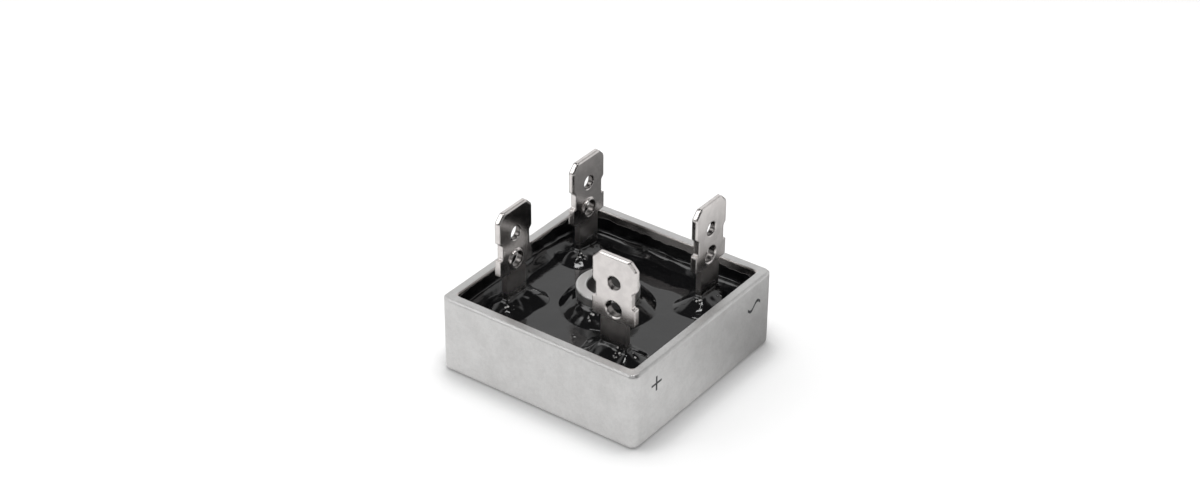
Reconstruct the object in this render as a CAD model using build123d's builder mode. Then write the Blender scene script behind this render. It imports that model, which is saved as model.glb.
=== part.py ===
"""Bridge rectifier in a square aluminium case, potted in epoxy, with four push-on blade terminals.

Millimetres. The origin is the centre of the flat base, +Z points up out of the open side of the case,
and the marked wall faces -Y.
"""

import os

from build123d import *

os.makedirs("parts", exist_ok=True)

# Case: one cold-formed aluminium shell with a hollow boss for the fixing screw
case_side = 28.6
case_height = 10.4
wall_thickness = 1.35
floor_thickness = 1.6
case_corner_radius = 1.0
case_base_edge_radius = 0.65
rim_outer_chamfer = 0.25
rim_inner_chamfer = 0.12
cavity_corner_radius = 0.6
cavity_floor_chamfer = 0.4

boss_top_drop = 0.1
boss_radius = 3.9
boss_top_wall = 1.35
boss_base_wall = 0.6
boss_root_chamfer = 0.6
boss_edge_chamfer = 0.16
bore_land = 5.0
bore_cone_height = 1.3
bore_mouth_chamfer = 0.4
bore_top_chamfer = 0.15

# Terminals: stamped and folded from one plated strip
blade_thickness = 0.8
blade_width = 6.35
blade_top_height = 21.2
blade_corner_cut = 1.05
blade_corner_round = 0.5
blade_edge_chamfer = 0.18
blade_length = 3.7
notch_slope = 0.6
notch_depth = 0.62
notch_length = 1.95
notch_round = 0.2
hook_inset = 0.1
hook_length = 2.35
hook_round = 0.3
leg_width = 3.7
lead_in_hole_drop = 3.6
lead_in_hole_radius = 0.85
lock_hole_drop = 7.2
lock_hole_radius = 1.0
hole_edge_chamfer = 0.12
collar_wall = 0.33
collar_height = 0.22
lock_hole_entry_chamfer = 0.18
collar_taper_angle = 8
fold_inner_radius = 0.4
fold_land = 1.2
fold_relief = 0.3

# Inside: dice soldered between the feet of the terminals, over an insulating sheet
sheet_thickness = 0.3
sheet_edge_gap = 0.4
sheet_hole_gap = 0.3
die_side = 4.4
die_thickness = 0.3
die_mesa_bevel = 0.12
solder_thickness = 0.1
solder_side = 4.0
pad_margin = 0.35
pad_corner_radius = 0.5

# Potting: its free surface lies under the rim and climbs what it wets
potting_drop = 3.1
wall_meniscus_radius = 2.6
wall_meniscus_bite = 0.1
boss_meniscus_width = 1.6
boss_meniscus_knee = 0.45
boss_meniscus_rise = 1.75
leg_meniscus_width = 0.9
leg_meniscus_rise = 1.1
leg_meniscus_taper = 42

# Distances of the terminals from the outside of the case, along X and Y: the positive blade stands square
# to the other three
positive_inset = (6.0, 7.2)
negative_inset = (6.45, 5.2)
ac_left_inset = (7.6, 5.2)
ac_right_inset = (6.35, 5.3)

# Levels and sizes that follow from those above
cavity_side = case_side - 2 * wall_thickness
boss_top = case_height - boss_top_drop
bore_radius = boss_radius - boss_top_wall
bore_base_radius = boss_radius - boss_base_wall
potting_level = case_height - potting_drop
lower_foot = floor_thickness + sheet_thickness
lower_solder = lower_foot + blade_thickness
die_level = lower_solder + solder_thickness
upper_solder = die_level + die_thickness
upper_foot = upper_solder + solder_thickness
pad_side = die_side + 2 * pad_margin
die_ring = (boss_radius + cavity_side / 2) / 2
notch_top = blade_top_height - blade_length
neck_top = notch_top - notch_slope
hook_top = neck_top - notch_length
hook_bottom = hook_top - hook_length

die_places = {
    "front": (0, -die_ring),
    "right": (die_ring, 0),
    "back": (0, die_ring),
    "left": (-die_ring, 0),
}


def corner_place(x_side, y_side, inset):
    """Place in plan at an inset from the two outer faces of a corner."""
    return (x_side * (case_side / 2 - inset[0]), y_side * (case_side / 2 - inset[1]))


# name: leg place, direction from the leg towards the middle, foot level, dice ahead and beside
terminals = {
    "positive": (corner_place(-1, -1, positive_inset), (1, 0), lower_foot, "front", "left"),
    "negative": (corner_place(1, 1, negative_inset), (0, -1), lower_foot, "right", "back"),
    "ac_left": (corner_place(-1, 1, ac_left_inset), (0, -1), upper_foot, "left", "back"),
    "ac_right": (corner_place(1, -1, ac_right_inset), (0, 1), upper_foot, "right", "front"),
}


def rectangle_between(corner, opposite):
    """Rectangle in the current sketch from two opposite corners."""
    middle = ((corner[0] + opposite[0]) / 2, (corner[1] + opposite[1]) / 2)
    with Locations(middle):
        Rectangle(abs(corner[0] - opposite[0]), abs(corner[1] - opposite[1]))


# Space inside the case, round the boss
with BuildPart() as cavity:
    with BuildSketch(Plane.XY.offset(floor_thickness)):
        RectangleRounded(cavity_side, cavity_side, cavity_corner_radius)
    extrude(amount=case_height - floor_thickness)
    chamfer(cavity.faces().sort_by(Axis.Z)[0].edges(), cavity_floor_chamfer)
    with BuildSketch(Plane.XZ):
        with BuildLine():
            Polyline(
                (0, 0),
                (boss_radius + boss_root_chamfer, 0),
                (boss_radius + boss_root_chamfer, floor_thickness),
                (boss_radius, floor_thickness + boss_root_chamfer),
                (boss_radius, boss_top - boss_edge_chamfer),
                (boss_radius - boss_edge_chamfer, boss_top),
                (0, boss_top),
                close=True,
            )
        make_face()
    revolve(axis=Axis.Z, mode=Mode.SUBTRACT)

# Case
with BuildPart() as case:
    with BuildSketch():
        RectangleRounded(case_side, case_side, case_corner_radius)
    extrude(amount=case_height)
    fillet(case.faces().sort_by(Axis.Z)[0].edges(), case_base_edge_radius)
    chamfer(case.faces().sort_by(Axis.Z)[-1].edges(), rim_outer_chamfer)
    add(cavity.part, mode=Mode.SUBTRACT)
    rim = case.faces().filter_by(Axis.Z).sort_by(Axis.Z)[-1]
    chamfer(rim.inner_wires()[0].edges(), rim_inner_chamfer)
    with BuildSketch(Plane.XZ):
        with BuildLine():
            Polyline(
                (0, 0),
                (bore_base_radius + bore_mouth_chamfer, 0),
                (bore_base_radius, bore_mouth_chamfer),
                (bore_base_radius, boss_top - bore_land - bore_cone_height),
                (bore_radius, boss_top - bore_land),
                (bore_radius, boss_top - bore_top_chamfer),
                (bore_radius + bore_top_chamfer, boss_top),
                (0, boss_top),
                close=True,
            )
        make_face()
    revolve(axis=Axis.Z, mode=Mode.SUBTRACT)
case.part.label = "case"
export_step(case.part, "parts/case.step")

# Insulating sheet under the terminal feet
with BuildPart() as insulating_sheet:
    with BuildSketch(Plane.XY.offset(floor_thickness)):
        sheet_side = cavity_side - 2 * (cavity_floor_chamfer + sheet_edge_gap)
        RectangleRounded(sheet_side, sheet_side, cavity_corner_radius)
        Circle(boss_radius + boss_root_chamfer + sheet_hole_gap, mode=Mode.SUBTRACT)
    extrude(amount=sheet_thickness)
insulating_sheet.part.label = "insulating_sheet"
export_step(insulating_sheet.part, "parts/insulating_sheet.step")


def make_terminal(place, inward, foot_level, die_ahead, die_beside):
    """Blade with its lock hooks, the leg folded into a foot, and the foot's two arms over the dice."""
    inward = Vector(*inward, 0)
    across = Vector(0, 0, 1).cross(inward)
    half_width = blade_width / 2
    half_leg = leg_width / 2
    half_thickness = blade_thickness / 2
    neck = half_width - notch_depth
    hook = half_width - hook_inset
    fold_start = half_thickness + fold_inner_radius
    fold_top = foot_level + blade_thickness + fold_inner_radius
    blade_plane = Plane(origin=(*place, 0), x_dir=across, z_dir=inward)
    fold_plane = Plane(origin=(*place, foot_level + half_thickness), x_dir=inward, z_dir=-across)
    foot_plane = Plane(origin=(*place, foot_level), x_dir=inward, z_dir=(0, 0, 1))
    ahead = foot_plane.to_local_coords(Vector(*die_places[die_ahead], foot_level))
    beside = foot_plane.to_local_coords(Vector(*die_places[die_beside], foot_level))
    side = 1 if beside.Y > 0 else -1
    reach = pad_side / 2
    ahead_end = ahead.X + reach
    beside_end = beside.Y + side * reach

    with BuildPart() as terminal:
        with BuildSketch(blade_plane):
            with BuildLine():
                contour = FilletPolyline(
                    (0, blade_top_height),
                    (half_width - blade_corner_cut, blade_top_height),
                    (half_width, blade_top_height - blade_corner_cut),
                    (half_width, notch_top),
                    (neck, neck_top),
                    (neck, hook_top),
                    (hook, hook_top),
                    (hook, hook_bottom),
                    (half_leg, hook_bottom),
                    (half_leg, fold_top),
                    radius=[
                        blade_corner_round,
                        blade_corner_round,
                        0,
                        notch_round,
                        notch_round,
                        notch_round,
                        hook_round,
                        0,
                    ],
                )
                Polyline(contour @ 1, (0, fold_top), contour @ 0)
            make_face()
            mirror(about=Plane.YZ)
        extrude(amount=half_thickness, both=True)
        blade_rim = terminal.edges().filter_by(Axis((0, 0, 0), inward), reverse=True)
        chamfer(blade_rim.filter_by(lambda edge: edge.center().Z > notch_top), blade_edge_chamfer)

        with BuildSketch(blade_plane):
            with Locations((0, blade_top_height - lead_in_hole_drop)):
                Circle(lead_in_hole_radius)
            with Locations((0, blade_top_height - lock_hole_drop)):
                Circle(lock_hole_radius)
        extrude(amount=blade_thickness, both=True, mode=Mode.SUBTRACT)
        hole_rims = terminal.edges().filter_by(GeomType.CIRCLE)
        chamfer(hole_rims.filter_by(lambda rim: rim.radius == lead_in_hole_radius), hole_edge_chamfer)
        lock_rims = hole_rims.filter_by(lambda rim: rim.radius == lock_hole_radius)
        chamfer(lock_rims.sort_by(Axis((0, 0, 0), inward))[0], lock_hole_entry_chamfer)
        with BuildSketch(blade_plane.offset(half_thickness)):
            with Locations((0, blade_top_height - lock_hole_drop)):
                Circle(lock_hole_radius + collar_wall)
                Circle(lock_hole_radius, mode=Mode.SUBTRACT)
        extrude(amount=collar_height, taper=collar_taper_angle)

        with BuildLine(fold_plane) as fold:
            FilletPolyline(
                (0, hook_bottom - foot_level - half_thickness),
                (0, 0),
                (fold_start + fold_land, 0),
                radius=fold_inner_radius + half_thickness,
            )
        with BuildSketch(Plane(origin=fold.line @ 0, x_dir=across, z_dir=fold.line % 0)):
            Rectangle(leg_width, blade_thickness)
        sweep()

        with BuildSketch(foot_plane) as foot:
            rectangle_between((fold_start, ahead.Y - reach), (ahead_end, ahead.Y + reach))
            rectangle_between((fold_start, 0), (beside.X + reach, beside.Y))
            rectangle_between(
                (beside.X - reach, side * (half_leg + fold_relief)),
                (beside.X + reach, beside_end),
            )
            arm_ends = foot.vertices().filter_by_position(Axis.X, ahead_end, ahead_end)
            arm_ends += foot.vertices().filter_by_position(Axis.Y, beside_end, beside_end)
            fillet(arm_ends, pad_corner_radius)
        extrude(amount=blade_thickness)
    return terminal.part


# Terminals
inner_pieces = [insulating_sheet.part]
for name, layout in terminals.items():
    terminal = make_terminal(*layout)
    terminal.label = f"terminal_{name}"
    export_step(terminal, f"parts/terminal_{name}.step")
    inner_pieces.append(terminal)

# Dice, each with a bevelled mesa edge, between two layers of solder
for side, place in die_places.items():
    with BuildPart() as die:
        with BuildSketch(Plane.XY.offset(die_level)):
            with Locations(place):
                Rectangle(die_side, die_side)
        extrude(amount=die_thickness)
        chamfer(die.faces().sort_by(Axis.Z)[-1].edges(), die_mesa_bevel)
    die.part.label = f"diode_die_{side}"
    export_step(die.part, f"parts/diode_die_{side}.step")
    inner_pieces.append(die.part)
    for layer, level in {"lower": lower_solder, "upper": upper_solder}.items():
        with BuildPart() as solder:
            with BuildSketch(Plane.XY.offset(level)):
                with Locations(place):
                    Rectangle(solder_side, solder_side)
            extrude(amount=solder_thickness)
        solder.part.label = f"solder_{layer}_{side}"
        export_step(solder.part, f"parts/solder_{layer}_{side}.step")
        inner_pieces.append(solder.part)

# Open recess over the potting, a little past the walls, so that its hollow edge meets them at an angle
with BuildPart() as recess:
    with BuildSketch(Plane.XY.offset(potting_level)):
        Rectangle(cavity_side + 2 * wall_meniscus_bite, cavity_side + 2 * wall_meniscus_bite)
    extrude(amount=case_height)
    fillet(recess.faces().sort_by(Axis.Z)[0].edges(), wall_meniscus_radius)

# Potting, which climbs the walls, the boss and the legs
with BuildPart() as potting_compound:
    add(cavity.part)
    add(recess.part, mode=Mode.SUBTRACT)
    with BuildSketch(Plane.XZ):
        with BuildLine():
            Polyline(
                (boss_radius, potting_level),
                (boss_radius + boss_meniscus_width, potting_level),
                (boss_radius + boss_meniscus_knee, potting_level + boss_meniscus_knee),
                (boss_radius, potting_level + boss_meniscus_rise),
                close=True,
            )
        make_face()
    revolve(axis=Axis.Z)
    with BuildSketch(Plane.XY.offset(potting_level)):
        for place, inward, *_ in terminals.values():
            with Locations(Plane(origin=(*place, 0), x_dir=(inward[1], inward[0], 0))):
                Rectangle(leg_width + 2 * leg_meniscus_width, blade_thickness + 2 * leg_meniscus_width)
    extrude(amount=leg_meniscus_rise, taper=leg_meniscus_taper)
    for piece in inner_pieces:
        add(piece, mode=Mode.SUBTRACT)
potting_compound.part.label = "potting_compound"
export_step(potting_compound.part, "parts/potting_compound.step")
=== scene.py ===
"""Looks of the bridge rectifier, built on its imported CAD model. Metres, in the same frame."""

import math

import bpy
from mathutils import Matrix, Vector, noise


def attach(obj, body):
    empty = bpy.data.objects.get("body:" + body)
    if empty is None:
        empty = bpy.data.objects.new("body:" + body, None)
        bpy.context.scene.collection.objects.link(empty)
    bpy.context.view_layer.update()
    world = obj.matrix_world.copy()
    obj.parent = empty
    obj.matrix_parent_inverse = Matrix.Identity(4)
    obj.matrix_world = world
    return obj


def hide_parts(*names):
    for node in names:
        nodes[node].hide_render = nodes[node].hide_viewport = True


MM = 0.001

# Camera, as solved from the lines of the object
CAMERA_PLACE = Vector((-212.905, -154.154, 181.850)) * MM
CAMERA_FORWARD = Vector((0.68246, 0.49807, -0.53495)).normalized()
CAMERA_ROLL = math.radians(0.3655)
CAMERA_LENS = 78.26

# Sizes of the CAD model that the resin's surface follows, in mm
WALL_FACE = 12.95
RESIN_LEVEL = 7.3
RESIN_FLOOR = 1.9
BOSS_RADIUS = 3.9
BORE_RADIUS = 2.55
MARKED_WALL = -14.2
LEG_HALF_WIDTH = 1.85
LEG_HALF_THICKNESS = 0.4
# Place of each leg and whether its width runs along Y
LEGS = (
    ((-8.3, -7.1), True),
    ((7.85, 9.1), False),
    ((-6.7, 9.1), False),
    ((7.95, -9.0), False),
)

# Faces this far out from the middle, in mm, belong to the inner walls
INNER_WALL_FROM = 12.4
INNER_WALL_TO = 13.05

# Film of resin on the inner walls: height of its edge, how far it varies, and what the +Y wall adds
FILM_EDGE = 8.75
FILM_EDGE_VARIES = 1.1
FILM_EDGE_BACK = 0.75

# Free surface of the resin, in mm. Pairs are a size and how far it varies to either side.
SINK_REACH = (6.4, 0.7)
SINK_REACH_BACK = 2.5
SINK_SLOPE = 0.12
WALL_WIDTH = (1.3, 0.4)
WALL_RISE = (0.9, 0.2)
WALL_LIP = (0.6, 0.2)
WALL_LIP_REACH = 0.13
BOSS_WIDTH = (2.0, 0.35)
BOSS_RISE = (1.6, 0.15)
BOSS_LIP = 0.2
BOSS_LIP_REACH = 0.15
LEG_WIDTH = (2.5, 0.6)
LEG_RISE = (1.45, 0.25)
LEG_LIP = 0.35
LEG_LIP_REACH = 0.12
LUMP_RISE = 0.10

# Mesh of that surface, in mm: its step, how far it stays off the walls, and how far it goes under
MESH_STEP = 0.12
MESH_INSET = 0.01
UNDER_BOSS = 0.3
UNDER_LEG = 0.2

RESIN_BLACK = (0.0055, 0.0055, 0.006, 1)

# Blades: height of their top, and each hole's drop under it and radius. Where the holes stand:
# X on the blades that face Y (the two at +X share one value), and Y on the blade that faces X.
BLADE_TOP = 21.2
BLADE_HOLES = ((3.6, 0.85), (7.2, 1.0))
BLADE_MIDDLES_X = (-6.7, 7.9)
BLADE_MIDDLE_Y = -7.1

# Centre and radius of the clumps of light grey spots painted on the resin: painted glints
GLINT_CLUMPS = (
    ((-8.8, 8.3), 0.8),
    ((-4.1, 7.9), 0.6),
    ((5.8, 8.2), 0.8),
    ((-4.5, -1.1), 0.7),
    ((3.9, -4.0), 0.4),
    ((-9.1, -8.2), 0.8),
    ((-8.0, -10.0), 0.7),
    ((8.9, -10.3), 0.6),
    ((5.6, -9.3), 0.7),
    ((-7.7, -0.9), 0.5),
)

# Sky: grey by the sine of the elevation, with a dark hood overhead and over the camera's side
SKY = ((0.0, 1.0), (0.3, 1.0), (0.6, 1.0), (1.0, 0.9))
HOODS = (
    ((0.0, -0.2, 0.98), 0.61, 0.73),
    ((-0.8077, -0.5895, 0.0), 0.18, 0.48),
)
HOOD_GREY = 0.07

# Glow of the white table in the camera's eye and in what mirrors it. TABLE_SHADE is taken off
# the mirrored table close to the marked wall, towards +X, and TABLE_SHADE_BEHIND more past its end.
TABLE_GLOW = 0.27
TABLE_GLOW_MIRRORED = 0.36
TABLE_SHADE = 0.62
TABLE_SHADE_BEHIND = 0.2

# Contact shadow on the table: how far it reaches, in mm, and what is left of the white in it
CONTACT_REACH = 5.0
CONTACT_SHADE = 0.58

TABLE_HALF_SIDE = 3.0  # in metres

# Lamps: name, place and size in metres, power in watts, and whether metal and resin mirror them
LAMPS = (
    ("lamp_over", (0.0, 0.08, 0.50), (0.28, 0.28), 0.75, False),
    ("strip_near", (-0.12, -0.09, 0.50), (0.24, 0.05), 0.42, True),
    ("strip_far", (0.01, 0.01, 0.50), (0.24, 0.05), 0.42, True),
    ("side_box", (-0.27, 0.25, 0.34), (0.16, 0.16), 0.17, True),
    ("card_near", (-0.375, -0.275, 0.295), (0.14, 0.14), 0.06, True),
)


# Node materials ------------------------------------------------------------------------------------


class Graph:
    """A node material: each call adds one node, and inputs given as sockets are linked."""

    def __init__(self, name):
        self.material = bpy.data.materials.new(name)
        self.material.use_nodes = True
        self.tree = self.material.node_tree
        self.tree.nodes.clear()
        self.output = self.add("ShaderNodeOutputMaterial")

    def add(self, kind, inputs=None, **settings):
        node = self.tree.nodes.new(kind)
        for key, value in settings.items():
            setattr(node, key, value)
        for key, value in (inputs or {}).items():
            self.feed(node.inputs[key], value)
        return node

    def feed(self, socket, value):
        if isinstance(value, bpy.types.NodeSocket):
            self.tree.links.new(value, socket)
        else:
            socket.default_value = value

    def math(self, operation, a, b=0.0, c=0.0):
        node = self.add("ShaderNodeMath", operation=operation)
        for socket, value in zip(node.inputs, (a, b, c)):
            self.feed(socket, value)
        return node.outputs[0]

    def times(self, vector, factors):
        """Vector multiplied by a factor along each axis."""
        node = self.add("ShaderNodeVectorMath", {0: vector, 1: factors}, operation="MULTIPLY")
        return node.outputs[0]

    def length(self, a, b):
        """Length of a step of a one way and b square to it."""
        squares = self.math("ADD", self.math("POWER", a, 2.0), self.math("POWER", b, 2.0))
        return self.math("SQRT", squares)

    def place(self):
        """Place on the object in millimetres, as a vector and as its X, Y and Z."""
        where = self.add("ShaderNodeTexCoord").outputs["Object"]
        scaled = self.times(where, (1 / MM, 1 / MM, 1 / MM))
        apart = self.add("ShaderNodeSeparateXYZ", {0: scaled})
        return scaled, apart.outputs[0], apart.outputs[1], apart.outputs[2]

    def noise(self, vector, scale, detail=3.0, roughness=0.55, stretch=None):
        if stretch:
            vector = self.times(vector, stretch)
        node = self.add(
            "ShaderNodeTexNoise",
            {"Vector": vector, "Scale": scale, "Detail": detail, "Roughness": roughness},
        )
        return node.outputs["Fac"]

    def between(self, value, low, high, at_low=0.0, at_high=1.0, smooth=True):
        node = self.add(
            "ShaderNodeMapRange",
            {"Value": value, "From Min": low, "From Max": high, "To Min": at_low, "To Max": at_high},
            interpolation_type="SMOOTHSTEP" if smooth else "LINEAR",
        )
        return node.outputs[0]

    def mix_colour(self, factor, a, b):
        node = self.add("ShaderNodeMix", data_type="RGBA")
        self.feed(node.inputs[0], factor)
        self.feed(node.inputs[6], a)
        self.feed(node.inputs[7], b)
        return node.outputs[2]

    def soft_edges(self, radius_mm):
        """Normal that rounds the edges over a radius."""
        return self.add("ShaderNodeBevel", {"Radius": radius_mm * MM}, samples=4).outputs[0]

    def bump(self, height, distance_mm, strength=1.0, normal=None):
        inputs = {"Height": height, "Distance": distance_mm * MM, "Strength": strength}
        if normal is not None:
            inputs["Normal"] = normal
        return self.add("ShaderNodeBump", inputs).outputs[0]

    def finish(self, **inputs):
        shader = self.add("ShaderNodeBsdfPrincipled")
        for key, value in inputs.items():
            self.feed(shader.inputs[key.replace("_", " ")], value)
        self.tree.links.new(shader.outputs[0], self.output.inputs["Surface"])
        return self.material


def band(graph, value, middle, half_width, soft=0.03):
    """1 where value is within half_width of middle."""
    away = graph.math("ABSOLUTE", graph.math("SUBTRACT", value, middle))
    return graph.between(away, half_width - soft, half_width + soft, 1.0, 0.0)


def polarity_marks(graph, x, y, z):
    """Ink mask of a plus and a sine sign on the wall that faces -Y."""
    plus_x, plus_z, plus_reach, stroke = -10.0, 7.35, 1.02, 0.15
    across = graph.math(
        "MULTIPLY", band(graph, x, plus_x, plus_reach), band(graph, z, plus_z, stroke)
    )
    upright = graph.math(
        "MULTIPLY", band(graph, x, plus_x, stroke), band(graph, z, plus_z, plus_reach)
    )
    sine_x, sine_z, sine_reach, sine_rise = 10.4, 7.2, 1.35, 0.45
    phase = graph.math("MULTIPLY", graph.math("SUBTRACT", x, sine_x), math.pi / sine_reach)
    wave = graph.math("MULTIPLY_ADD", graph.math("SINE", phase), sine_rise, sine_z)
    off_wave = graph.math("ABSOLUTE", graph.math("SUBTRACT", z, wave))
    sine = graph.math(
        "MULTIPLY",
        graph.between(off_wave, stroke + 0.03, stroke + 0.1, 1.0, 0.0),
        band(graph, x, sine_x, sine_reach),
    )
    ink = graph.math("MAXIMUM", graph.math("MAXIMUM", across, upright), sine)
    on_wall = graph.math("LESS_THAN", y, MARKED_WALL)
    return graph.math("MULTIPLY", ink, on_wall)


def resin_film(graph, where, x, y, z):
    """Masks of the inner walls and of the thin film of resin on them, with its uneven upper edge."""
    out = graph.math("MAXIMUM", graph.math("ABSOLUTE", x), graph.math("ABSOLUTE", y))
    on_wall = graph.math(
        "MULTIPLY",
        graph.math("GREATER_THAN", out, INNER_WALL_FROM),
        graph.math("LESS_THAN", out, INNER_WALL_TO),
    )
    edge = graph.math("MULTIPLY_ADD", graph.noise(where, 0.5, 3.0, 0.6), FILM_EDGE_VARIES, FILM_EDGE)
    on_back_wall = graph.math("GREATER_THAN", y, INNER_WALL_FROM)
    edge = graph.math("MULTIPLY_ADD", on_back_wall, FILM_EDGE_BACK, edge)
    below = graph.between(graph.math("SUBTRACT", z, edge), -0.06, 0.06, 1.0, 0.0)
    return on_wall, graph.math("MULTIPLY", on_wall, below)


def aluminium():
    """Tumbled cold-formed aluminium with printed polarity signs, and painted shade and light: darker at the
    foot, on the inner walls and in the bore, lighter on the boss.
    """
    graph = Graph("case_aluminium")
    where, x, y, z = graph.place()
    cloud = graph.noise(where, 0.35, 4.0, 0.6)
    mottle = graph.noise(where, 2.2, 4.0, 0.65)
    grain = graph.noise(where, 9.0, 2.0, 0.7)
    tone = graph.math("MULTIPLY_ADD", mottle, 0.10, graph.math("MULTIPLY", grain, 0.08))
    tone = graph.math("MULTIPLY_ADD", cloud, 0.10, tone)
    dull, bright = (0.53, 0.525, 0.52, 1), (0.65, 0.646, 0.64, 1)
    metal = graph.mix_colour(graph.between(tone, 0.09, 0.19), dull, bright)
    # Darker band along the foot of the walls: painted shade.
    painted_base_shade = graph.between(z, 0.1, 0.75, 0.14, 0.0)
    metal = graph.mix_colour(painted_base_shade, metal, (0.36, 0.355, 0.35, 1))
    inner_wall, film = resin_film(graph, where, x, y, z)
    # One flat tone on the inner walls, a little darker and warmer than the outer metal: painted shade.
    metal = graph.mix_colour(inner_wall, metal, (0.55, 0.52, 0.505, 1))
    from_bore = graph.length(x, y)
    # Lighter tone over the boss: painted light.
    painted_boss_light = graph.between(from_bore, BOSS_RADIUS + 0.05, BOSS_RADIUS + 0.1, 0.5, 0.0)
    metal = graph.mix_colour(painted_boss_light, metal, (0.82, 0.815, 0.805, 1))
    # Dark inside the bore: painted shade.
    painted_bore_shade = graph.between(from_bore, BORE_RADIUS + 0.05, BORE_RADIUS + 0.15, 0.7, 0.0)
    metal = graph.mix_colour(painted_bore_shade, metal, (0.16, 0.157, 0.155, 1))
    ink = polarity_marks(graph, x, y, z)
    worn = graph.between(graph.noise(where, 5.0, 3.0, 0.7), 0.28, 0.5, 0.7, 1.0)
    ink = graph.math("MULTIPLY", ink, worn)
    colour = graph.mix_colour(ink, metal, (0.045, 0.045, 0.05, 1))
    colour = graph.mix_colour(film, colour, RESIN_BLACK)
    rough = graph.math("MULTIPLY_ADD", mottle, 0.18, 0.33)
    rough = graph.between(inner_wall, 0.0, 1.0, rough, 0.24, smooth=False)
    rough = graph.math("MAXIMUM", rough, graph.math("MULTIPLY", ink, 0.6))
    rough = graph.between(film, 0.0, 1.0, rough, 0.1, smooth=False)
    streaks = graph.noise(where, 1.0, 3.0, 0.6, stretch=(0.35, 0.35, 2.6))
    flow = graph.math("MULTIPLY", graph.math("MULTIPLY", streaks, film), 12.0)
    normal = graph.bump(grain, 0.012, 0.5, graph.bump(mottle, 0.03, 0.4, graph.soft_edges(0.32)))
    normal = graph.bump(flow, 0.02, 0.4, normal)
    return graph.finish(
        Base_Color=colour,
        Metallic=graph.math("SUBTRACT", 1.0, graph.math("MAXIMUM", ink, film)),
        Roughness=rough,
        IOR=1.3,
        Normal=normal,
    )


def painted_hole_shade(graph, x, y, z):
    """Mask of the walls of the blades' holes, painted dark: painted shade."""
    inside = 0.0
    middles = [(x, middle) for middle in BLADE_MIDDLES_X] + [(y, BLADE_MIDDLE_Y)]
    for side, middle in middles:
        for drop, radius in BLADE_HOLES:
            across = graph.math("SUBTRACT", side, middle)
            up = graph.math("SUBTRACT", z, BLADE_TOP - drop)
            away = graph.length(across, up)
            wall = graph.between(away, radius + 0.03, radius + 0.1, 1.0, 0.0)
            inside = graph.math("MAXIMUM", wall, inside)
    return inside


def plated_strip():
    """Nickel-plated terminal strip with a faint rolled grain along it, duller on the legs, and painted shade
    on the walls of its holes.
    """
    graph = Graph("terminal_plating")
    where, x, y, z = graph.place()
    rolled = graph.noise(where, 1.0, 4.0, 0.6, stretch=(9.0, 9.0, 0.6))
    patch = graph.noise(where, 0.8, 3.0, 0.55)
    pits = graph.noise(where, 7.0, 2.0, 0.6)
    dull, bright = (0.60, 0.572, 0.56, 1), (0.67, 0.64, 0.625, 1)
    colour = graph.mix_colour(graph.between(patch, 0.35, 0.65), dull, bright)
    # Dark walls in the holes: painted shade.
    colour = graph.mix_colour(painted_hole_shade(graph, x, y, z), colour, (0.17, 0.16, 0.155, 1))
    rough = graph.math("MULTIPLY_ADD", patch, 0.12, graph.math("MULTIPLY_ADD", rolled, 0.06, 0.05))
    dull_leg = graph.between(z, 11.0, 14.5, 0.22, 0.0)
    dull_leg = graph.math("MULTIPLY", dull_leg, graph.between(z, 8.0, 11.0))
    rough = graph.math("ADD", rough, dull_leg)
    normal = graph.bump(rolled, 0.01, 0.35, graph.bump(pits, 0.012, 0.35, graph.soft_edges(0.25)))
    return graph.finish(Base_Color=colour, Metallic=1.0, Roughness=rough, Normal=normal)


def painted_glint_clumps(graph, where, x, y):
    """Mask of light grey spots gathered in clumps at the feet of the legs and the boss: painted glints."""
    plan = graph.add("ShaderNodeCombineXYZ", {0: x, 1: y}).outputs[0]
    near = 0.0
    for (clump_x, clump_y), radius in GLINT_CLUMPS:
        centre = (clump_x, clump_y, 0)
        away = graph.add("ShaderNodeVectorMath", {0: plan, 1: centre}, operation="DISTANCE")
        clump = graph.between(away.outputs["Value"], 0.4 * radius, radius, 1.0, 0.0)
        near = graph.math("MAXIMUM", clump, near)
    cells = graph.add("ShaderNodeTexVoronoi", {"Vector": where, "Scale": 2.1}).outputs["Distance"]
    grains = graph.between(cells, 0.24, 0.40, 1.0, 0.0)
    return graph.math("MULTIPLY", near, grains)


def epoxy():
    """Glossy black potting resin with faint flow waves and dust, and clumps of light grey spots: painted
    glints.
    """
    graph = Graph("potting_epoxy")
    where, x, y, _ = graph.place()
    flow = graph.noise(where, 0.45, 3.0, 0.5)
    ripple = graph.noise(where, 1.7, 3.0, 0.6)
    dust = graph.between(graph.noise(where, 11.0, 2.0, 0.6), 0.68, 0.76)
    colour = graph.mix_colour(graph.math("MULTIPLY", dust, 0.35), RESIN_BLACK, (0.10, 0.10, 0.10, 1))
    rough = graph.math("MULTIPLY_ADD", ripple, 0.08, graph.math("MULTIPLY_ADD", dust, 0.15, 0.05))
    painted_glints = painted_glint_clumps(graph, where, x, y)
    # Light grey spots in clumps, with a small bump: painted glints.
    colour = graph.mix_colour(painted_glints, colour, (0.58, 0.57, 0.56, 1))
    rough = graph.math("MAXIMUM", rough, graph.math("MULTIPLY", painted_glints, 0.3))
    normal = graph.bump(ripple, 0.012, 0.5, graph.bump(flow, 0.06, 0.6))
    normal = graph.bump(painted_glints, 0.08, 1.0, normal)
    return graph.finish(Base_Color=colour, Roughness=rough, IOR=1.52, Normal=normal)


def sheet_film():
    """Off-white insulating film with faint fibres."""
    graph = Graph("insulating_film")
    where = graph.place()[0]
    fibres = graph.noise(where, 2.0, 4.0, 0.7, stretch=(1.0, 6.0, 1.0))
    colour = graph.mix_colour(fibres, (0.62, 0.60, 0.52, 1), (0.76, 0.74, 0.68, 1))
    rough = graph.math("MULTIPLY_ADD", fibres, 0.2, 0.5)
    return graph.finish(Base_Color=colour, Roughness=rough, Normal=graph.bump(fibres, 0.01, 0.5))


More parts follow.
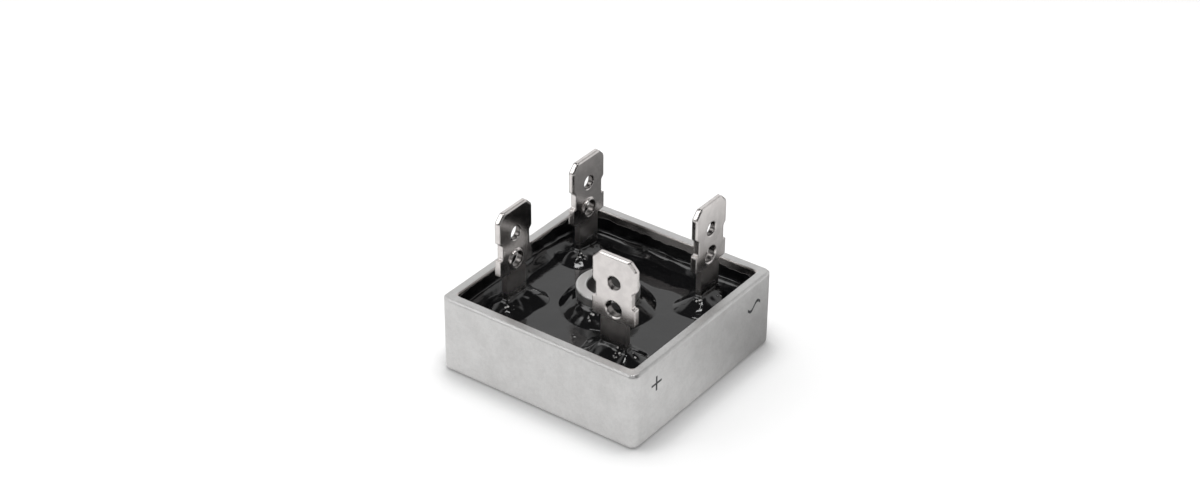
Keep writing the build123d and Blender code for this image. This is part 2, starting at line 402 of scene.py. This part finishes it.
def silicon():
    """Glass-passivated silicon."""
    graph = Graph("die_silicon")
    where = graph.place()[0]
    stain = graph.noise(where, 1.2, 3.0, 0.5)
    colour = graph.mix_colour(stain, (0.10, 0.11, 0.13, 1), (0.17, 0.18, 0.20, 1))
    rough = graph.math("MULTIPLY_ADD", stain, 0.15, 0.12)
    normal = graph.bump(stain, 0.004, 0.4)
    return graph.finish(Base_Color=colour, Metallic=0.4, Roughness=rough, Normal=normal)


def soft_solder():
    """Dull frosted solder."""
    graph = Graph("solder_joint")
    where = graph.place()[0]
    frost = graph.noise(where, 6.0, 4.0, 0.7)
    colour = graph.mix_colour(frost, (0.48, 0.48, 0.49, 1), (0.66, 0.66, 0.67, 1))
    rough = graph.math("MULTIPLY_ADD", frost, 0.25, 0.3)
    return graph.finish(Base_Color=colour, Metallic=1.0, Roughness=rough, Normal=graph.bump(frost, 0.01, 0.6))


def dress(node, material):
    """Gives a CAD node its material."""
    node.data.materials.clear()
    node.data.materials.append(material)


# Resin ---------------------------------------------------------------------------------------------


def bead(distance, rise, width, power=1.0):
    """Height of a wetting edge at a distance from what it wets: it starts at a clear foot line."""
    return rise * max(0.0, 1.0 - max(distance, 0.0) / width) ** power


def lip(distance, rise, reach):
    """Height of the thin steep lip where the resin ends on what it wets."""
    return rise * math.exp(-max(distance, 0.0) / reach)


def leg_distance(x, y, leg):
    """Distance in plan from a leg's faces, negative inside it."""
    (cx, cy), along_y = leg
    half_x, half_y = LEG_HALF_WIDTH, LEG_HALF_THICKNESS
    if along_y:
        half_x, half_y = half_y, half_x
    dx, dy = abs(x - cx) - half_x, abs(y - cy) - half_y
    return math.hypot(max(dx, 0), max(dy, 0)) + min(max(dx, dy), 0)


def wave(*where):
    """Smooth noise from -1 to 1."""
    return noise.noise(Vector(where))


def varied(size, *where):
    """Size that varies with the place."""
    middle, varies = size
    return middle + varies * wave(*where)


def resin_height(x, y):
    """Height of the cured surface over the base, in mm."""
    height = RESIN_LEVEL + 0.02 * wave(x * 0.22, y * 0.22, 3.1)
    reach = varied(SINK_REACH, y * 0.3, 5.0, 1.0)
    reach += SINK_REACH_BACK * min(1.0, max(0.0, (y - 3.0) / 5.0))
    height -= bead(WALL_FACE - x, SINK_SLOPE * reach, reach)
    climb = 0.0
    for distance, along, seed in (
        (WALL_FACE - x, y, 11.0),
        (WALL_FACE + x, y, 23.0),
        (WALL_FACE - y, x, 37.0),
        (WALL_FACE + y, x, 51.0),
    ):
        width = varied(WALL_WIDTH, along * 0.31, seed, 0.5)
        wall_bead = bead(distance, varied(WALL_RISE, along * 0.35, seed, 9), width)
        wall_bead += lip(distance, varied(WALL_LIP, along * 0.4, seed, 13), WALL_LIP_REACH)
        climb = max(climb, wall_bead)
    height += climb
    turn = math.atan2(y, x)
    around = (math.cos(turn) * 1.9, math.sin(turn) * 1.9)
    from_boss = math.hypot(x, y) - BOSS_RADIUS
    height += bead(from_boss, varied(BOSS_RISE, *around, 7.7), varied(BOSS_WIDTH, *around, 2.2))
    height += LUMP_RISE * wave(x * 1.1, y * 1.1, 8.0) * bead(from_boss, 1.0, 2.2, 0.7)
    height += lip(from_boss, BOSS_LIP, BOSS_LIP_REACH)
    for leg in LEGS:
        distance = leg_distance(x, y, leg)
        width = varied(LEG_WIDTH, x * 0.35, y * 0.35, 9.0)
        height += bead(distance, varied(LEG_RISE, x * 0.4, y * 0.4, 4.0), width)
        height += LUMP_RISE * wave(x, y, 6.0) * bead(distance, 1.0, width, 0.5)
        height += lip(distance, LEG_LIP, LEG_LIP_REACH)
    return height


def resin():
    """The potting, with its free surface as a fine mesh that climbs the walls, the boss and the legs."""
    count = int(round(2 * WALL_FACE / MESH_STEP))
    half = WALL_FACE - MESH_INSET
    spots = [-WALL_FACE + MESH_INSET + (2 * half) * i / count for i in range(count + 1)]
    vertices, index = [], {}

    def vertex(i, j):
        if (i, j) not in index:
            x, y = spots[i], spots[j]
            index[i, j] = len(vertices)
            vertices.append((x * MM, y * MM, resin_height(x, y) * MM))
        return index[i, j]

    def hidden(x, y):
        in_boss = math.hypot(x, y) < BOSS_RADIUS - UNDER_BOSS
        return in_boss or any(leg_distance(x, y, leg) < -UNDER_LEG for leg in LEGS)

    faces = []
    for i in range(count):
        for j in range(count):
            x, y = (spots[i] + spots[i + 1]) / 2, (spots[j] + spots[j + 1]) / 2
            if not hidden(x, y):
                faces.append((vertex(i, j), vertex(i + 1, j), vertex(i + 1, j + 1), vertex(i, j + 1)))
    top_faces = len(faces)
    ring = [(i, 0) for i in range(count)] + [(count, j) for j in range(count)]
    ring += [(i, count) for i in range(count, 0, -1)] + [(0, j) for j in range(count, 0, -1)]
    upper = [vertex(i, j) for i, j in ring]
    lower = []
    for i, j in ring:
        lower.append(len(vertices))
        vertices.append((spots[i] * MM, spots[j] * MM, RESIN_FLOOR * MM))
    for k in range(len(ring)):
        after = (k + 1) % len(ring)
        faces.append((upper[after], upper[k], lower[k], lower[after]))
    mesh = bpy.data.meshes.new("potting_resin")
    mesh.from_pydata(vertices, [], faces)
    mesh.validate()
    for polygon in mesh.polygons:
        polygon.use_smooth = polygon.index < top_faces
    piece = bpy.data.objects.new("potting_resin", mesh)
    bpy.context.scene.collection.objects.link(piece)
    return piece


# Studio --------------------------------------------------------------------------------------------


def set_camera():
    """Camera that sees the object as the photograph does."""
    level = CAMERA_FORWARD.cross(Vector((0, 0, 1))).normalized()
    upright = level.cross(CAMERA_FORWARD)
    right = math.cos(CAMERA_ROLL) * level + math.sin(CAMERA_ROLL) * upright
    up = right.cross(CAMERA_FORWARD)
    back = -CAMERA_FORWARD
    data = bpy.data.cameras.new("camera")
    data.sensor_width = 36
    data.lens = CAMERA_LENS
    data.clip_start = 0.001
    camera = bpy.data.objects.new("camera", data)
    camera.matrix_world = Matrix(
        (
            (right.x, up.x, back.x, CAMERA_PLACE.x),
            (right.y, up.y, back.y, CAMERA_PLACE.y),
            (right.z, up.z, back.z, CAMERA_PLACE.z),
            (0, 0, 0, 1),
        )
    )
    bpy.context.scene.collection.objects.link(camera)
    bpy.context.scene.camera = camera


def add_lamp(name, place, size, power, mirrored):
    """Adds an area lamp aimed at the object; its length runs level across the camera's view."""
    data = bpy.data.lights.new(name, "AREA")
    data.shape = "RECTANGLE"
    data.size, data.size_y = size
    data.energy = power
    lamp = bpy.data.objects.new(name, data)
    lamp.visible_glossy = mirrored
    back = Vector(place).normalized()
    level = CAMERA_FORWARD.cross(Vector((0, 0, 1)))
    length = (level - level.dot(back) * back).normalized()
    width = back.cross(length)
    lamp.matrix_world = Matrix(
        [(length[i], width[i], back[i], place[i]) for i in range(3)] + [(0, 0, 0, 1)]
    )
    bpy.context.scene.collection.objects.link(lamp)


def ramp_of(tree, value, stops):
    """Grey ramp over a value from (position, grey) pairs."""
    node = tree.nodes.new("ShaderNodeValToRGB")
    tree.links.new(value, node.inputs[0])
    elements = node.color_ramp.elements
    while len(elements) < len(stops):
        elements.new(0.5)
    for element, (position, grey) in zip(elements, stops):
        element.position = position
        element.color = (grey, grey, grey, 1)
    return node.outputs[0]


def set_world():
    """Soft sky with a dark hood overhead and over the camera's side, and plain white to the camera."""
    world = bpy.data.worlds.new("studio")
    bpy.context.scene.world = world
    world.use_nodes = True
    tree = world.node_tree
    tree.nodes.clear()
    new = tree.nodes.new
    output = new("ShaderNodeOutputWorld")
    heading = new("ShaderNodeTexCoord").outputs["Generated"]
    apart = new("ShaderNodeSeparateXYZ")
    tree.links.new(heading, apart.inputs[0])
    hooded = None
    for direction, start, full in HOODS:
        towards = new("ShaderNodeVectorMath")
        towards.operation = "DOT_PRODUCT"
        tree.links.new(heading, towards.inputs[0])
        towards.inputs[1].default_value = direction
        share = new("ShaderNodeMapRange")
        share.interpolation_type = "SMOOTHSTEP"
        tree.links.new(towards.outputs["Value"], share.inputs["Value"])
        share.inputs["From Min"].default_value = start
        share.inputs["From Max"].default_value = full
        if hooded is None:
            hooded = share.outputs[0]
            continue
        larger = new("ShaderNodeMath")
        larger.operation = "MAXIMUM"
        tree.links.new(share.outputs[0], larger.inputs[0])
        tree.links.new(hooded, larger.inputs[1])
        hooded = larger.outputs[0]
    sky_colour = new("ShaderNodeMix")
    sky_colour.data_type = "RGBA"
    tree.links.new(hooded, sky_colour.inputs[0])
    tree.links.new(ramp_of(tree, apart.outputs[2], SKY), sky_colour.inputs[6])
    sky_colour.inputs[7].default_value = (HOOD_GREY, HOOD_GREY, HOOD_GREY, 1)
    sky = new("ShaderNodeBackground")
    tree.links.new(sky_colour.outputs[2], sky.inputs["Color"])
    white = new("ShaderNodeBackground")
    white.inputs["Color"].default_value = (1, 1, 1, 1)
    rays = new("ShaderNodeLightPath")
    mix = new("ShaderNodeMixShader")
    tree.links.new(rays.outputs["Is Camera Ray"], mix.inputs[0])
    tree.links.new(sky.outputs[0], mix.inputs[1])
    tree.links.new(white.outputs[0], mix.inputs[2])
    tree.links.new(mix.outputs[0], output.inputs["Surface"])


def set_floor():
    """White table, which keeps the object's shadow."""
    half = TABLE_HALF_SIDE
    corners = [(-half, -half, 0), (half, -half, 0), (half, half, 0), (-half, half, 0)]
    mesh = bpy.data.meshes.new("floor")
    mesh.from_pydata(corners, [], [(0, 1, 2, 3)])
    floor = bpy.data.objects.new("floor", mesh)
    bpy.context.scene.collection.objects.link(floor)
    graph = Graph("floor_white")
    rays = graph.add("ShaderNodeLightPath")
    _, x, y, _ = graph.place()
    shade = graph.math("MULTIPLY", graph.between(x, -4.0, 17.0), graph.between(y, -31.0, -21.0))
    shade = graph.math("MULTIPLY", shade, rays.outputs["Is Glossy Ray"])
    far_y = graph.between(y, -17.0, -9.0, 0.0, TABLE_SHADE_BEHIND)
    deeper = graph.math("MULTIPLY", graph.between(x, 15.0, 25.0), far_y)
    shade = graph.math("MULTIPLY", shade, graph.math("ADD", deeper, TABLE_SHADE))
    lit = graph.math("SUBTRACT", 1.0, shade)
    openness = graph.add("ShaderNodeAmbientOcclusion", {"Distance": CONTACT_REACH * MM}, samples=6)
    contact = graph.between(openness.outputs["AO"], 0.5, 0.95, CONTACT_SHADE, 1.0)
    seen = rays.outputs["Is Camera Ray"]
    lit = graph.math("MULTIPLY", lit, graph.between(seen, 0.0, 1.0, 1.0, contact, smooth=False))
    matte = graph.add("ShaderNodeBsdfDiffuse")
    white = graph.mix_colour(seen, (0.72, 0.72, 0.72, 1), (0.82, 0.82, 0.82, 1))
    graph.feed(matte.inputs["Color"], graph.mix_colour(lit, (0, 0, 0, 1), white))
    mirrored = graph.math("MULTIPLY", rays.outputs["Is Glossy Ray"], TABLE_GLOW_MIRRORED)
    mirrored = graph.math("MULTIPLY", mirrored, lit)
    strength = graph.math("MULTIPLY_ADD", graph.math("MULTIPLY", seen, lit), TABLE_GLOW, mirrored)
    glow = graph.add("ShaderNodeEmission", {"Color": (1, 1, 1, 1), "Strength": strength})
    both = graph.add("ShaderNodeAddShader", {0: matte.outputs[0], 1: glow.outputs[0]})
    graph.tree.links.new(both.outputs[0], graph.output.inputs["Surface"])
    mesh.materials.append(graph.material)


# Build ---------------------------------------------------------------------------------------------

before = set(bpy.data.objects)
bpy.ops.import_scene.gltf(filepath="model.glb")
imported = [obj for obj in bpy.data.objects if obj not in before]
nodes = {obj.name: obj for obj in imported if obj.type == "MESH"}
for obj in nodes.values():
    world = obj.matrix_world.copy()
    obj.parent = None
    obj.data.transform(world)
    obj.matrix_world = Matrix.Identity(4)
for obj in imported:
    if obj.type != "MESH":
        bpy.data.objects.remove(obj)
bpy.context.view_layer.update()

aluminium_metal = aluminium()
plating = plated_strip()
black_resin = epoxy()
film = sheet_film()
die_material = silicon()
solder_material = soft_solder()

for name, node in nodes.items():
    if name == "case":
        dress(node, aluminium_metal)
    elif name.startswith("terminal_"):
        dress(node, plating)
    elif name.startswith("diode_die_"):
        dress(node, die_material)
    elif name.startswith("solder_"):
        dress(node, solder_material)
    elif name == "insulating_sheet":
        dress(node, film)
    else:
        dress(node, black_resin)

potting = resin()
potting.data.materials.append(black_resin)
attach(potting, "root")
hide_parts("potting_compound")

set_camera()
set_world()
set_floor()
for lamp in LAMPS:
    add_lamp(*lamp)

bpy.context.scene.view_settings.view_transform = "Standard"
